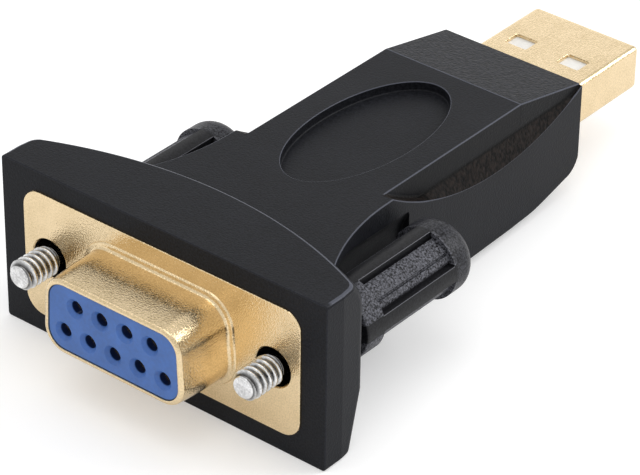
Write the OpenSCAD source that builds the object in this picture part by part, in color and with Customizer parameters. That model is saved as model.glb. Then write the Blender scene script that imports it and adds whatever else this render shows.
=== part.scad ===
// USB to serial adapter: a one-piece moulded housing with a nine-way D socket
// on its wide flange, two captive thumbscrews and a type A plug at the tail.
// The origin is the middle of the D connector's front plate, +Y runs to the
// plug and +Z is up. The wide side of the D is at the bottom.

/* [Connector plate] */
// Width of the mounting plate
plate_w = 30.81; // [30.2:0.01:31.4]
// Height of the mounting plate
plate_h = 12.55; // [12:0.01:13]
// Corner radius of the mounting plate
plate_r = 1.9; // [0.8:0.1:2.6]
// Thickness of the sheet that both connector shells are drawn from
sheet_t = 0.5; // [0.3:0.05:0.7]
// Distance between the two fixing screws
screw_pitch = 24.99; // [24.6:0.01:25.4]
// Radius of the screw holes through the plates
plate_hole_r = 1.85; // [1.6:0.05:2]
// How far the plate stands proud of the housing
plate_proud = 0.2; // [0:0.05:0.4]

/* [D nose] */
// Greatest width of the nose
nose_w = 16.33; // [15.8:0.01:16.6]
// Height of the nose
nose_h = 7.9; // [7.4:0.05:8.2]
// Corner radius of the nose
nose_r = 2.4; // [1.8:0.1:2.8]
// Lean of the two short sides
nose_angle = 10; // [6:1:12]
// Length of the nose in front of the plate
nose_len = 5.9; // [5.2:0.1:6.4]
// Wall of the nose
nose_wall = 0.4; // [0.25:0.05:0.5]
// Length of the nose's front part that draws in
nose_lead = 2.8; // [1.5:0.1:3.5]
// How far the nose draws in at its front
nose_draw = 0.3; // [0.1:0.05:0.5]
// Radius of the rolled front rim and of the root of the nose
nose_edge = 0.45; // [0.2:0.05:0.6]
// Length of the step at the root of the nose
root_len = 0.25; // [0.1:0.05:0.5]

/* [Contacts] */
// Distance between contacts in a row
contact_pitch = 2.77; // [2.7:0.01:2.85]
// Distance between the two rows
row_pitch = 2.84; // [2.7:0.01:3]
// Contacts in the wide row
wide_count = 5; // [5:1:5]
// Outer radius of a socket contact
contact_r = 0.8; // [0.65:0.01:0.85]
// Bore radius of a socket contact
contact_bore_r = 0.52; // [0.45:0.01:0.55]
// Radius of a contact's tail on the board
tail_r = 0.6; // [0.4:0.05:0.65]
// Length of a contact's tail behind the insulator
tail_len = 4.2; // [3:0.1:5]
// Radius of an entry hole in the blue face
entry_r = 0.6; // [0.56:0.01:0.7]
// Radius of an entry hole's countersink
sink_r = 0.94; // [0.8:0.01:1.1]
// Depth of the countersink
sink_depth = 0.6; // [0.3:0.05:0.8]
// Depth of the insulator behind the front plate
insulator_back = 4.6; // [4:0.1:5.2]
// Depth of the rear shell's cup behind its plate
cup_depth = 3.6; // [3:0.1:4]
// How much wider than the nose the cup is
cup_grow = 1.9; // [1.5:0.1:2.2]

/* [Flange] */
// Width of the housing's flange
flange_w = 36; // [35:0.1:37]
// Height of the housing's flange
flange_h = 16.5; // [16:0.1:17.5]
// Corner radius of the flange
flange_r = 0.35; // [0.25:0.05:1]
// Depth at which the body starts inside the flange
flange_band = 2.15; // [1.8:0.05:3]
// Depth of the crowned flange in its middle
flange_depth = 9; // [8.5:0.1:10]
// Radius of the crowned back in plan
crown_r = 43; // [38:1:60]
// Corner radius of the crowned back in plan
crown_corner = 1.2; // [0.8:0.1:2]
// Draft of the flange's ends behind the front band
end_draft = 7; // [2:0.5:9]
// How far the crowned back leans in at its top edge
crown_top_in = 1.35; // [0.8:0.05:1.6]
// Height over which it leans in at the top
crown_top_drop = 2.75; // [2:0.05:3]
// How far the crowned back leans in at its lower edge
crown_low_in = 1.45; // [0.8:0.05:1.6]
// Height over which it leans in below
crown_low_rise = 5.6; // [4:0.1:6]

/* [Body] */
// Level of the body's middle below the D connector's middle
body_drop = 1.29; // [0.8:0.01:1.6]
// Height of the body
body_h = 12.48; // [12:0.02:13]
// Distance from the plate to the tail end
body_len = 49.6; // [48:0.1:52]
// Width of the body where the flare ends
waist_w = 17.8; // [17.6:0.1:18]
// Width of the body at its tail end
tail_w = 16.1; // [15.8:0.1:16.6]
// Where the flare ends
waist_y = 19.6; // [19:0.1:20.2]
// Radius of the flare towards the flange
flare_r = 22; // [20:1:26]
// Where the top begins to fall towards the tail
slope_y = 40.3; // [39.5:0.1:42]
// How far the top falls by the tail end
top_fall = 1.95; // [1.5:0.05:2.4]
// Where the underside begins to rise towards the tail
rise_y = 42.5; // [40.5:0.1:44]
// How far the underside rises by the tail end
low_rise = 1.55; // [1:0.05:2.2]
// Radius of the lower tail edge
tail_r_low = 2.2; // [1:0.1:3]

/* [Grips and recess] */
// Depth of a finger grip behind the waist's side
grip_depth = 1.15; // [0.8:0.05:1.3]
// Radius of a grip's lower edge
grip_r = 30; // [29:0.5:31]
// Middle of a grip along the body
grip_y = 36.8; // [36:0.1:37.5]
// Lowest level of a grip's edge
grip_low = 0.05; // [-0.5:0.05:0.5]
// Level of the crease between a grip's wall and its floor
grip_crease = 2.35; // [2:0.05:2.8]
// Half length of the oval recess
oval_long = 10.3; // [9:0.1:11]
// Half width of the oval recess
oval_short = 5.05; // [4.5:0.05:5.5]
// Middle of the oval recess along the body
oval_y = 27.8; // [27:0.1:28.5]
// Depth of the oval recess
oval_depth = 0.9; // [0.3:0.05:1.1]
// Radius of the knob clearance in the body's side
pocket_r = 4.5; // [4.3:0.1:4.8]
// Where the knob clearance ends
pocket_end = 22.8; // [22.5:0.1:23.5]
// Seat of the knob in the back of the flange
pocket_seat = 7; // [6.8:0.1:7.2]

/* [Inside] */
// Width of the hollow for the circuit board
cavity_w = 12.6; // [12.4:0.1:12.8]
// Roof of the hollow above the D connector's middle
cavity_top = 3.3; // [3.2:0.05:3.4]
// Floor of the hollow below the D connector's middle
cavity_floor = 4.6; // [4:0.1:5.5]
// Width of the circuit board
board_w = 12.2; // [11:0.1:12.3]
// Thickness of the circuit board
board_t = 1.6; // [1.2:0.1:1.6]
// Where the board begins behind the plate
board_y = 5.4; // [5.2:0.1:6]
// Clearance between pieces that are assembled by hand
fit = 0.02; // [0.01:0.01:0.05]

/* [Plug] */
// Width of the plug's shell
plug_w = 12; // [11.9:0.05:12.1]
// Height of the plug's shell
plug_h = 4.5; // [4.4:0.05:4.6]
// Wall of the plug's shell
plug_wall = 0.3; // [0.25:0.05:0.35]
// Corner radius of the plug's shell
plug_r = 0.5; // [0.35:0.05:0.8]
// Length of the plug's shell outside the housing
plug_out = 12; // [11.75:0.05:12.5]
// Length of the plug's shell inside the housing
plug_in = 6.6; // [5:0.1:7]
// Width of a latch window
window_w = 2.35; // [2:0.05:2.6]
// Length of a latch window
window_l = 1.9; // [1.6:0.05:2.5]
// Distance between the latch windows
window_pitch = 6; // [5.5:0.1:6.5]
// Distance from the tip to the middle of the windows
window_back = 6.4; // [5.5:0.1:7]
// Depth of the plug's mouth
mouth_depth = 11.9; // [11:0.1:12]
// How far the white tongue stays behind the tip
tongue_back = 0.5; // [0.3:0.1:1]
// Width of a plug contact
blade_w = 1; // [0.8:0.05:1.2]
// Thickness of a plug contact
blade_t = 0.25; // [0.15:0.05:0.3]

/* [Thumbscrews] */
// Radius of the screw thread
thread_r = 1.42; // [1.3:0.01:1.45]
// Length of the thread in front of the plate
thread_out = 3.9; // [3:0.1:5]
// Where the thread ends behind the plate's front
thread_end = 0.05; // [-1:0.05:0.2]
// Depth of the thread's clearance behind the plates
thread_room = 2.4; // [1.5:0.1:2.6]
// Radius of the plain shank
shank_r = 1.15; // [1:0.01:1.2]
// Running clearance around the shank
shank_gap = 0.06; // [0.02:0.01:0.1]
// Chamfer of the screw's tip
tip_chamfer = 0.4; // [0.2:0.05:0.6]
// Length of the shank inside the knob
shank_grip = 10; // [6:0.5:12]
// Radius of the knob
knob_r = 3.45; // [3.2:0.05:3.5]
// Length of the knob with its collar
knob_len = 16.4; // [15:0.1:17.5]
// Radius of the knob's collar
collar_r = 2.7; // [2.2:0.1:3.1]
// Length of the knob's collar
collar_len = 1.1; // [0.6:0.1:1.8]
// Radius of the knob's rounded end
knob_round = 1.8; // [1:0.1:2.5]
// Number of smooth ribs around the knob
rib_count = 4; // [3:1:8]
// Width of a rib
rib_w = 1.55; // [1:0.05:2]
// Turn of the first rib from the level
rib_turn = 5; // [0:1:45]
// Depth of the grip panels between the ribs
panel_depth = 0.45; // [0.3:0.05:0.8]
// Distance from the collar to the panels
panel_from = 2.3; // [1:0.1:3]
// Length of the panels
panel_len = 9.8; // [6:0.1:11]
// Running gap between the knob and the seat in the flange
knob_gap = 0.1; // [0.05:0.05:0.3]

/* [Hidden] */

$fn = 48;
// Overlap that keeps neighbouring solids of one piece joined
lap = 0.4;
// Thickness of a slice that a blend runs through
slice_t = 0.02;

screw_x = screw_pitch / 2;
body_mid = -body_drop;
body_top = body_mid + body_h / 2;
body_bottom = body_mid - body_h / 2;
tail_top = body_top - top_fall;
tail_bottom = body_bottom + low_rise;
flange_y = plate_proud;
band_y = flange_y + flange_band;
crown_mid = flange_y + flange_depth - crown_r;
shells_t = 2 * sheet_t;
plug_tip = body_len + plug_out;
plug_back = body_len - plug_in;
plug_inner_h = plug_h - 2 * plug_wall;
board_end = plug_back - fit;
blade_top = -board_t / 2;
blade_x = [-3.5, -1, 1, 3.5];
knob_y = pocket_seat + knob_gap;
knob_end = knob_y + knob_len;
bore_r = contact_r + fit;
insulator_face = -nose_len + 0.11;
rim_draw = nose_draw + nose_wall;

// Runs an outline of the X-Z plane from y0 over a length along +Y
module along_y(y0, length) {
    translate([0, y0 + length, 0]) rotate([90, 0, 0]) linear_extrude(length) children();
}

// Runs an outline of the Y-Z plane from x0 over a length along +X
module along_x(x0, length) {
    translate([x0, 0, 0]) rotate([90, 0, 90]) linear_extrude(length) children();
}

// A round bar or bore along +Y
module bar_y(x, z, y0, y1, r) {
    translate([x, y1, z]) rotate([90, 0, 0]) cylinder(h = y1 - y0, r = r);
}

// Outline around round corners of one radius, given by their centres in turn
module rounded(centres, r) {
    n = len(centres);
    polygon([for (i = [0:n - 1]) let (
        a = centres[i],
        b = centres[(i + 1) % n],
        d = (b - a) / norm(b - a),
        side = [d[1], -d[0]] * r) each [a + side, b + side]]);
    for (c = centres) translate(c) circle(r);
}

module rounded_box(w, h, r) {
    x = w / 2 - r;
    z = h / 2 - r;
    rounded([[-x, -z], [x, -z], [x, z], [-x, z]], r);
}

// The D outline, drawn in or let out all round by inset
module d_outline(inset = 0) {
    r = nose_r - inset;
    z = nose_h / 2 - nose_r;
    low = nose_w / 2 - nose_r;
    high = low - 2 * z * tan(nose_angle);
    rounded([[-low, -z], [low, -z], [high, z], [-high, z]], r);
}

// Places of the contacts, the narrow row above and the wide row below
contact_at = concat(
    [for (i = [0:wide_count - 1]) [(i - (wide_count - 1) / 2) * contact_pitch, -row_pitch / 2]],
    [for (i = [0:wide_count - 2]) [(i - (wide_count - 2) / 2) * contact_pitch, row_pitch / 2]]);

module plate_outline(inset = 0) {
    rounded_box(plate_w - 2 * inset, plate_h - 2 * inset, plate_r - inset);
}

module screw_holes(y0, y1, r) {
    for (side = [-1, 1]) bar_y(side * screw_x, 0, y0, y1, r);
}

// Drawn front shell: the plate and the hollow D nose in one sheet
module dsub_front_shell() {
    color("gold") difference() {
        union() {
            along_y(0, sheet_t) plate_outline();
            along_y(-root_len, root_len + lap) d_outline(-nose_edge);
            hull() {
                along_y(sheet_t / 2, slice_t) d_outline();
                along_y(-nose_len + nose_lead, slice_t) d_outline();
                along_y(-nose_len + nose_edge, slice_t) d_outline(nose_draw);
                along_y(-nose_len + nose_edge / 4, slice_t) d_outline(nose_draw + nose_edge / 4);
                along_y(-nose_len, slice_t) d_outline(nose_draw + nose_edge * 0.7);
            }
        }
        along_y(-nose_len - lap, nose_len + 2 * lap + sheet_t) d_outline(rim_draw);
        along_y(-nose_len + nose_lead, nose_len) d_outline(nose_wall);
        screw_holes(-lap, sheet_t + lap, plate_hole_r);
    }
}

// Drawn rear shell: a plate against the front one with an open cup behind it
module dsub_rear_shell() {
    color("goldenrod") difference() {
        union() {
            along_y(sheet_t, sheet_t) plate_outline(fit);
            along_y(sheet_t, sheet_t + cup_depth) d_outline(-cup_grow / 2);
        }
        along_y(0, 2 * sheet_t + cup_depth) d_outline(nose_wall - cup_grow / 2);
        screw_holes(0, 3 * sheet_t, plate_hole_r);
    }
}

// Blue insulator with a countersunk entry and a bore for each contact
module dsub_insulator() {
    color("royalblue") difference() {
        union() {
            along_y(insulator_face, sheet_t - insulator_face) d_outline(rim_draw + fit);
            along_y(sheet_t, insulator_back - sheet_t) d_outline(nose_wall - cup_grow / 2 + fit);
        }
        for (c = contact_at) {
            bar_y(c[0], c[1], insulator_face - lap, 0, entry_r);
            bar_y(c[0], c[1], insulator_face + 1, insulator_back + lap, bore_r);
            translate([c[0], insulator_face, c[1]]) rotate([-90, 0, 0])
                cylinder(h = sink_depth, r1 = sink_r, r2 = entry_r);
        }
    }
}

// Turned contact: an open socket in front and a tail on the board behind
module socket_contact(index) {
    c = contact_at[index];
    color("gold") difference() {
        union() {
            bar_y(c[0], c[1], insulator_face + 1 + fit, insulator_back, contact_r);
            bar_y(c[0], c[1], insulator_back - lap, insulator_back + tail_len, tail_r);
        }
        bar_y(c[0], c[1], insulator_face, 0.5, contact_bore_r);
    }
}

// Flange outline from above: square in front, drafted ends and a crown with rounded corners behind
module flange_plan() {
    lean = tan(end_draft);
    side_x = flange_w / 2 + band_y * lean - crown_corner / cos(end_draft);
    slope = 1 + lean * lean;
    half_b = side_x * lean + crown_mid;
    rest = pow(side_x, 2) + pow(crown_mid, 2) - pow(crown_r - crown_corner, 2);
    corner_y = (half_b + sqrt(half_b * half_b - slope * rest)) / slope;
    corner = [side_x - lean * corner_y, corner_y];
    meet = corner[0] * crown_r / (crown_r - crown_corner);
    turn = corner + crown_corner * [cos(end_draft), sin(end_draft)];
    polygon([[-flange_w / 2, flange_y], [flange_w / 2, flange_y], [flange_w / 2, band_y], turn, corner,
        [-corner[0], corner[1]], [-turn[0], turn[1]], [-flange_w / 2, band_y]]);
    for (side = [-1, 1]) translate([side * corner[0], corner[1]]) circle(crown_corner);
    intersection() {
        translate([0, crown_mid]) circle(crown_r, $fn = 180);
        translate([-meet, flange_y]) square([2 * meet, 2 * flange_depth]);
    }
}

// Half section of the crown, turned about an upright axis in front of the flange
module crown_section() {
    half = flange_h / 2;
    top = half - crown_top_drop;
    bend_r = (pow(crown_top_drop, 2) + pow(crown_top_in, 2)) / crown_top_in / 2;
    polygon([[0, -half], [crown_r - crown_low_in, -half], [crown_r, crown_low_rise - half],
        [crown_r, top], [0, top]]);
    intersection() {
        union() {
            translate([crown_r - bend_r, top]) circle(bend_r);
            translate([0, top - lap]) square([crown_r - bend_r, crown_top_drop + lap]);
        }
        translate([0, top - lap]) square([crown_r, crown_top_drop + lap]);
    }
}

// Flange: its front outline, its plan and its crowned back cut one another to shape
module flange() {
    intersection() {
        along_y(flange_y, 2 * flange_depth) rounded_box(flange_w, flange_h, flange_r);
        translate([0, 0, -flange_h]) linear_extrude(2 * flange_h) flange_plan();
        translate([0, crown_mid, 0]) rotate_extrude($fn = 180) crown_section();
    }
}

// Body outline from above: a flare at the flange and a slim taper behind it
module body_plan() {
    polygon([[-waist_w / 2, waist_y], [-tail_w / 2, body_len], [tail_w / 2, body_len],
        [waist_w / 2, waist_y]]);
    difference() {
        translate([-waist_w / 2 - lap * 10, band_y]) square([waist_w + lap * 20, waist_y - band_y]);
        for (side = [-1, 1]) translate([side * (waist_w / 2 + flare_r), waist_y]) circle(flare_r, $fn = 180);
    }
}

// Body outline from the side: the top falls and the underside rises to the tail
module body_side() {
    rise = atan(low_rise / (body_len - rise_y));
    low = [body_len - tail_r_low, tail_bottom + tail_r_low * (1 - sin(rise)) / cos(rise)];
    polygon([[band_y, body_bottom], [rise_y, body_bottom],
        low + tail_r_low * [sin(rise), -cos(rise)], low, [body_len, low[1]],
        [body_len, tail_top], [slope_y, body_top], [band_y, body_top]]);
    translate(low) circle(tail_r_low);
}

// Outline of a finger grip from the side: an arc cut off at a lowest level
module grip_outline(lowest) {
    high = body_top + 1;
    floor_z = max(lowest, grip_low);
    reach = acos((grip_low + grip_r - high) / grip_r);
    bite = acos((grip_low + grip_r - floor_z) / grip_r);
    steps = 8;
    polygon([for (side = [-1, 1], i = [0:steps]) let (
        a = side < 0 ? -reach + i * (reach - bite) / steps : bite + i * (reach - bite) / steps)
        if (side < 0 || i > 0 || bite > 0)
            [grip_y + grip_r * sin(a), grip_low + grip_r * (1 - cos(a))]]);
}

// Places a slice that is upright on the tapered side face of the body
module on_side() {
    lean = atan((waist_w - tail_w) / 2 / (body_len - waist_y));
    translate([waist_w / 2, waist_y, 0]) rotate([0, 0, lean]) translate([0, -waist_y, 0]) children();
}

// Finger grip: an upright wall above a crease and a floor that runs out to the side
module grip_cut(side) {
    mirror([side < 0 ? 1 : 0, 0, 0]) hull() {
        along_x(waist_w / 2 - grip_depth, slice_t) grip_outline(grip_crease);
        on_side() along_x(slice_t, 2) grip_outline(grip_low);
    }
}

module oval_recess() {
    translate([0, oval_y, body_top - oval_depth]) linear_extrude(oval_depth + lap)
        scale([oval_short, oval_long]) circle(1, $fn = 72);
}

// Room inside for the connector's back, the board and the root of the plug
module hollow() {
    along_y(flange_y - lap, shells_t - flange_y + lap + fit) plate_outline(-fit);
    along_y(0, shells_t + cup_depth + fit) d_outline(-cup_grow / 2 - fit);
    along_y(shells_t, plug_back - shells_t) translate([-cavity_w / 2, -cavity_floor])
        square([cavity_w, cavity_floor + cavity_top]);
    along_y(plug_back - fit, plug_in + 1) translate([0, body_mid])
        rounded_box(plug_w + 2 * fit, plug_h + 2 * fit, plug_r + fit);
}

// One-piece moulded housing
module housing() {
    color([0.13, 0.13, 0.14]) difference() {
        union() {
            flange();
            intersection() {
                translate([0, 0, body_bottom - 1]) linear_extrude(body_h + 2) body_plan();
                along_x(-waist_w, 2 * waist_w) body_side();
            }
        }
        hollow();
        oval_recess();
        for (side = [-1, 1]) {
            grip_cut(side);
            bar_y(side * screw_x, 0, pocket_seat, pocket_end, pocket_r);
        }
        screw_holes(flange_y - lap, shells_t + thread_room + lap, plate_hole_r);
        screw_holes(shells_t, pocket_seat + lap, shank_r + shank_gap);
    }
}

// Shell of the plug: one rolled sheet with a pair of latch windows on each face
module usb_shell() {
    color("gold") translate([0, 0, body_mid]) difference() {
        along_y(plug_back, plug_tip - plug_back) rounded_box(plug_w, plug_h, plug_r);
        along_y(plug_back - lap, plug_tip - plug_back + 2 * lap)
            rounded_box(plug_w - 2 * plug_wall, plug_inner_h, plug_r - plug_wall);
        for (side = [-1, 1]) translate([side * window_pitch / 2, plug_tip - window_back, 0])
            cube([window_w, window_l, plug_h + 2 * lap], center = true);
    }
}

// White carrier of the plug's contacts: a root block and the tongue under the roof
module usb_insulator() {
    roof = body_mid + plug_inner_h / 2 - fit;
    floor_z = body_mid - plug_inner_h / 2 + fit;
    half = plug_w / 2 - plug_wall - fit;
    root_end = plug_tip - mouth_depth;
    tongue_low = blade_top - blade_t * 0.8;
    color("white") difference() {
        intersection() {
            union() {
                translate([-half, plug_back + fit, floor_z]) cube([2 * half, root_end - plug_back, roof - floor_z]);
                translate([-half, plug_back + fit, tongue_low])
                    cube([2 * half, plug_tip - tongue_back - plug_back - fit, roof - tongue_low]);
            }
            translate([0, 0, body_mid]) along_y(plug_back, plug_tip - plug_back)
                rounded_box(2 * half, roof - floor_z, plug_r - plug_wall);
        }
        for (x = blade_x) translate([x - blade_w / 2 - fit, plug_back - lap, blade_top - blade_t - fit])
            cube([blade_w + 2 * fit, plug_tip - tongue_back * 3 - plug_back + lap + fit, blade_t + 2 * fit]);
    }
}

// Flat contact of the plug, from the board's underside to the tongue
module usb_contact(index) {
    color("gold") translate([blade_x[index] - blade_w / 2, plug_back - 2.5, blade_top - blade_t])
        cube([blade_w, plug_tip - tongue_back * 3 - plug_back + 2.5, blade_t]);
}

module circuit_board() {
    color("darkgreen") translate([-board_w / 2, board_y, -board_t / 2])
        cube([board_w, board_end - board_y, board_t]);
}

// Small-outline package with bent leads; side is 1 on top of the board and -1 below it
module chip(y, length, width, height, leads, pitch, side) {
    foot = 1.1;
    lead_t = 0.15;
    mirror([0, 0, side < 0 ? 1 : 0]) translate([0, y, board_t / 2]) {
        translate([-width / 2, -length / 2, lead_t]) cube([width, length, height]);
        for (i = [0:leads - 1], x = [-1, 1]) translate([0, (i - (leads - 1) / 2) * pitch, 0]) {
            translate([x * (width / 2 + foot * 0.7), 0, lead_t / 2])
                cube([foot * 0.7, pitch * 0.42, lead_t], center = true);
            translate([x * (width / 2 + foot * 0.35), 0, height * 0.3])
                cube([lead_t, pitch * 0.42, height * 0.6], center = true);
            translate([x * (width / 2 + foot * 0.1), 0, height * 0.6])
                cube([foot * 0.65, pitch * 0.42, lead_t], center = true);
        }
    }
}

module usb_uart_chip() {
    color("black") chip(30, 10.2, 5.3, 1.75, 14, 0.65, 1);
}

module line_driver_chip() {
    color("black") chip(22, 10.2, 5.3, 1.75, 14, 0.65, -1);
}

// Two-ended ceramic part: a body between two metal caps
module two_ended(x, y, length, width, height, side, tone) {
    cap = length * 0.22;
    mirror([0, 0, side < 0 ? 1 : 0]) translate([x - width / 2, y - length / 2, board_t / 2]) {
        color(tone) translate([0, cap / 2, 0.02]) cube([width, length - cap, height - 0.04]);
        color("silver") cube([width, cap, height]);
        color("silver") translate([0, length - cap, 0]) cube([width, cap, height]);
    }
}

module pump_capacitor(index) {
    two_ended((index - 1.5) * 2.4, 13, 2, 1.25, 1.1, 1, "tan");
}

module supply_capacitor() {
    two_ended(3.8, 34, 2, 1.25, 1.1, -1, "tan");
}

module supply_ferrite() {
    two_ended(-3.8, 34, 2, 1.25, 0.9, -1, "dimgray");
}

module pull_up_resistor() {
    two_ended(0, 34, 1.6, 0.8, 0.5, -1, "black");
}

// Crystal in a flat metal can on a ceramic base
module clock_crystal() {
    color("silver") translate([-1.6, 37, board_t / 2]) {
        cube([3.2, 5, 0.5]);
        translate([0.15, 0.15, 0.5 - slice_t]) cube([2.9, 4.7, 0.4]);
    }
}

// Thumbscrew: thread in front, slimmer shank through the flange and into the knob
module screw(side) {
    color("silver") translate([side * screw_x, 0, 0]) rotate([-90, 0, 0]) rotate_extrude()
        polygon([[0, -thread_out], [thread_r - tip_chamfer, -thread_out],
            [thread_r, -thread_out + tip_chamfer], [thread_r, thread_end],
            [shank_r, thread_end + (thread_r - shank_r)],
            [shank_r, knob_y + shank_grip], [0, knob_y + shank_grip]]);
}

// Moulded knob: a collar, a grip with panels sunk between smooth ribs, and a rounded end
module knob(side) {
    color([0.1, 0.1, 0.11]) translate([side * screw_x, 0, 0]) difference() {
        rotate([-90, 0, 0]) rotate_extrude() difference() {
            union() {
                translate([0, knob_y]) square([collar_r, collar_len + lap]);
                translate([0, knob_y + collar_len]) square([knob_r, knob_len - collar_len - knob_round]);
                translate([0, knob_end - knob_round - lap]) square([knob_r - knob_round, knob_round + lap]);
                translate([knob_r - knob_round, knob_end - knob_round]) circle(knob_round);
            }
            translate([-knob_r, knob_y - lap]) square([knob_r + shank_r, shank_grip + lap]);
            translate([-knob_r, knob_y - lap]) square([knob_r, knob_len + 2 * lap]);
        }
        difference() {
            rotate([-90, 0, 0]) rotate_extrude()
                translate([knob_r - panel_depth, knob_y + collar_len + panel_from])
                    square([panel_depth + lap, panel_len]);
            for (i = [0:rib_count - 1]) rotate([0, i * 360 / rib_count - side * rib_turn, 0])
                translate([0, knob_y + collar_len + panel_from - lap, -rib_w / 2])
                    cube([knob_r + 2 * lap, panel_len + 2 * lap, rib_w]);
        }
    }
}

housing();
dsub_front_shell();
dsub_rear_shell();
dsub_insulator();
for (i = [1:9]) socket_contact(i - 1);
usb_shell();
usb_insulator();
for (i = [1:4]) usb_contact(i - 1);
circuit_board();
usb_uart_chip();
line_driver_chip();
for (i = [1:4]) pump_capacitor(i - 1);
supply_capacitor();
supply_ferrite();
pull_up_resistor();
clock_crystal();
screw(-1);  // left_screw
knob(-1);  // left_knob
screw(1);  // right_screw
knob(1);  // right_knob
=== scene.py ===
"""Looks of the USB to serial adapter: moulded housing, D connector, plug and two thumbscrews.

Lengths in the settings are metres. The shapes are worked out in millimetres and brought to metres
when a piece is finished. The axes are the frame's: +X along the flange, +Y to the plug, +Z up.
"""

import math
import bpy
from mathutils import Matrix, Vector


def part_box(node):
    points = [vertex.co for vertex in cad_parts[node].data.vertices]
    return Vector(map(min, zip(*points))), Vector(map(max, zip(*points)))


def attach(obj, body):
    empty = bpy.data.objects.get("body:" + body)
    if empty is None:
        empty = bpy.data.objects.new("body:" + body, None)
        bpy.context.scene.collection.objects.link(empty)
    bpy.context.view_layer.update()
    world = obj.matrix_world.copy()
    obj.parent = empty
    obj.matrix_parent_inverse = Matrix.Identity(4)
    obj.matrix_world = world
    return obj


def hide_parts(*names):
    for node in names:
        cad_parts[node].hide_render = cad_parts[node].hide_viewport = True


bl_info = {
    "name": "Serial Adapter Parts",
    "version": (1, 0, 0),
    "blender": (4, 5, 0),
    "location": "View3D > Sidebar > Adapter",
    "description": "Makes the visible pieces of a plug-in serial adapter around its CAD frame",
    "category": "Object",
}

import bmesh
import bpy
from mathutils import Matrix, Vector

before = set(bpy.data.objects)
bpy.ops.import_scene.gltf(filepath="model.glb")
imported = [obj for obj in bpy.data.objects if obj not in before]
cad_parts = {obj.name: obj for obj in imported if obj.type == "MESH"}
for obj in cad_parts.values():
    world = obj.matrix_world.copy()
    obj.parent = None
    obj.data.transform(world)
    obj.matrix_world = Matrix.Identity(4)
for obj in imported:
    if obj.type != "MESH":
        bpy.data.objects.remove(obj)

MM = 0.001
HOUSING_BODY = "housing_body"
SCREW_X = (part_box("right_knob")[0].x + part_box("right_knob")[1].x) / 2 / MM
PLUG_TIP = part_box("usb_shell")[1].y / MM
PLUG_LEVEL = (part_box("usb_shell")[0].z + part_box("usb_shell")[1].z) / 2 / MM
NOSE_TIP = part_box("dsub_front_shell")[0].y / MM
INSULATOR_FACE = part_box("dsub_insulator")[0].y / MM
FLOOR_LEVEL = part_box("housing")[0].z


# Settings -------------------------------------------------------------------


def length(name, description, millimetres):
    return bpy.props.FloatProperty(
        name=name, description=description, default=millimetres * MM, precision=5, unit="LENGTH"
    )


def tint(name, description, red, green, blue):
    return bpy.props.FloatVectorProperty(
        name=name, description=description, default=(red, green, blue), subtype="COLOR", size=3, min=0, max=1
    )


class HousingSettings(bpy.types.PropertyGroup):
    """Sizes and colour of the moulded housing"""

    flange_width: length("Flange width", "Width of the flange", 36.0)
    flange_height: length("Flange height", "Height of the flange", 16.5)
    flange_edge: length("Flange edge", "Rounding of the flange's crisp edges", 0.10)
    flange_band: length("Flange band", "Depth of the square band in front of the drafted ends", 2.15)
    crown_radius: length("Crown radius", "Radius of the flange's back in plan", 43.0)
    crown_depth: length("Crown depth", "Depth of the flange in its middle", 9.0)
    crown_corner: length("Crown corner", "Corner radius of the flange's back in plan", 1.2)
    body_top: length("Body top", "Level of the body's top face", 4.95)
    body_bottom: length("Body bottom", "Level of the body's underside", -7.53)
    body_length: length("Body length", "Distance from the plate to the tail end", 49.6)
    body_edge: length("Body edge", "Rounding of the body's long edges", 0.10)
    oval_depth: length("Oval depth", "Depth of the oval recess", 0.9)
    colour: tint("Colour", "Colour of the housing's plastic", 0.0100, 0.0106, 0.0132)


class ConnectorSettings(bpy.types.PropertyGroup):
    """Sizes and colours of the D connector"""

    plate_width: length("Plate width", "Width of the mounting plate", 30.81)
    plate_height: length("Plate height", "Height of the mounting plate", 12.55)
    nose_width: length("Nose width", "Greatest width of the D nose", 16.33)
    nose_height: length("Nose height", "Height of the D nose", 7.9)
    contact_pitch: length("Contact pitch", "Distance between contacts in a row", 2.77)
    row_distance: length("Row distance", "Distance between the two rows", 2.84)
    entry_radius: length("Entry radius", "Radius of a contact's entry hole", 0.62)
    gold: tint("Gold", "Colour of the gold-flashed sheet", 0.81, 0.645, 0.415)
    blue: tint("Blue", "Colour of the insulator", 0.056, 0.152, 0.45)


class PlugSettings(bpy.types.PropertyGroup):
    """Sizes of the plug's shell"""

    width: length("Width", "Width of the plug's shell", 12.0)
    height: length("Height", "Height of the plug's shell", 4.5)
    wall: length("Wall", "Thickness of the rolled sheet", 0.3)
    corner: length("Corner", "Corner radius of the shell", 0.5)
    window_width: length("Window width", "Width of a latch window", 2.35)
    window_length: length("Window length", "Length of a latch window", 1.9)


class ThumbscrewSettings(bpy.types.PropertyGroup):
    """Sizes and colours of the thumbscrews"""

    thread_radius: length("Thread radius", "Outer radius of the thread", 1.42)
    core_radius: length("Core radius", "Radius at the root of the thread", 1.06)
    pitch: length("Pitch", "Pitch of the thread", 0.635)
    knob_radius: length("Knob radius", "Radius of the knob", 3.45)
    rib_width: length("Rib width", "Width of a smooth rib on the knob", 1.55)
    panel_depth: length("Panel depth", "Depth of a grip panel between two ribs", 0.42)
    panel_length: length("Panel length", "Length of the grip panels", 9.8)
    steel: tint("Steel", "Colour of the plated screws", 0.66, 0.655, 0.635)
    colour: tint("Colour", "Colour of the knobs' plastic", 0.0110, 0.0112, 0.0130)


class StageSettings(bpy.types.PropertyGroup):
    """Camera, floor and light"""

    lens: bpy.props.FloatProperty(
        name="Lens", description="Focal length of the camera", default=191.3, unit="CAMERA"
    )
    world_strength: bpy.props.FloatProperty(
        name="World strength", description="Strength of the even light from all round", default=0.8, min=0
    )
    key_strength: bpy.props.FloatProperty(
        name="Key strength", description="Power of the lamp behind on the right, in watts", default=1.15, min=0
    )
    floor_colour: tint("Floor colour", "Colour of the floor", 0.82, 0.82, 0.82)


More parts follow.
